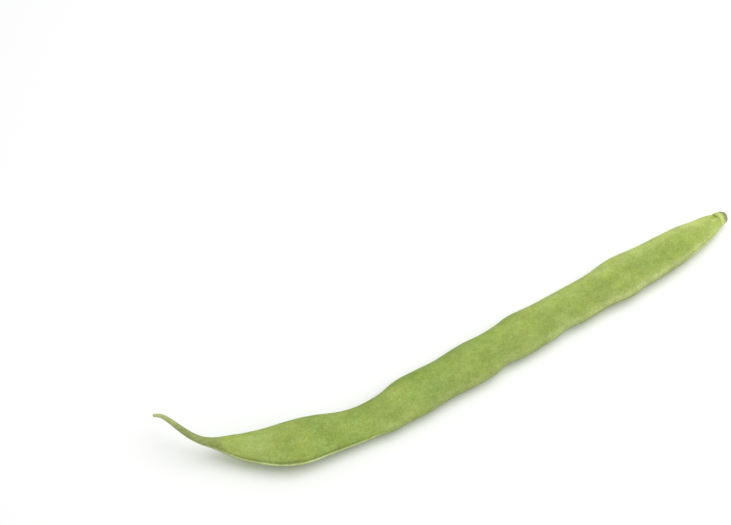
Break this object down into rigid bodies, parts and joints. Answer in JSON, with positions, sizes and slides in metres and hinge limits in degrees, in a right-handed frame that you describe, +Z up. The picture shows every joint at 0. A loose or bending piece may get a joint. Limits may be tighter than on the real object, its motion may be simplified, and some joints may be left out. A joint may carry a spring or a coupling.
{
  "type": "flat bean",
  "caption": "Flat green bean pod lying on a broad face, with soft seed swellings, ridged edges, a thin curved beak and a blunt cap at the stem end.",
  "frame": {"origin": "on the surface it rests on, under the middle of its bounding box", "axes": "+X along the bean from the beak to the stem end, +Z up, out of the upper broad face"},
  "size_m": [0.2202, 0.0398, 0.0129],
  "materials": {
    "pod_skin": "matt velvety green skin",
    "cap_skin": "matt pale yellow-green, olive brown at the scar"
  },
  "bodies": {
    "root": {"pod": "pod_skin", "stem_cap": "cap_skin"}
  },
  "joints": []
}
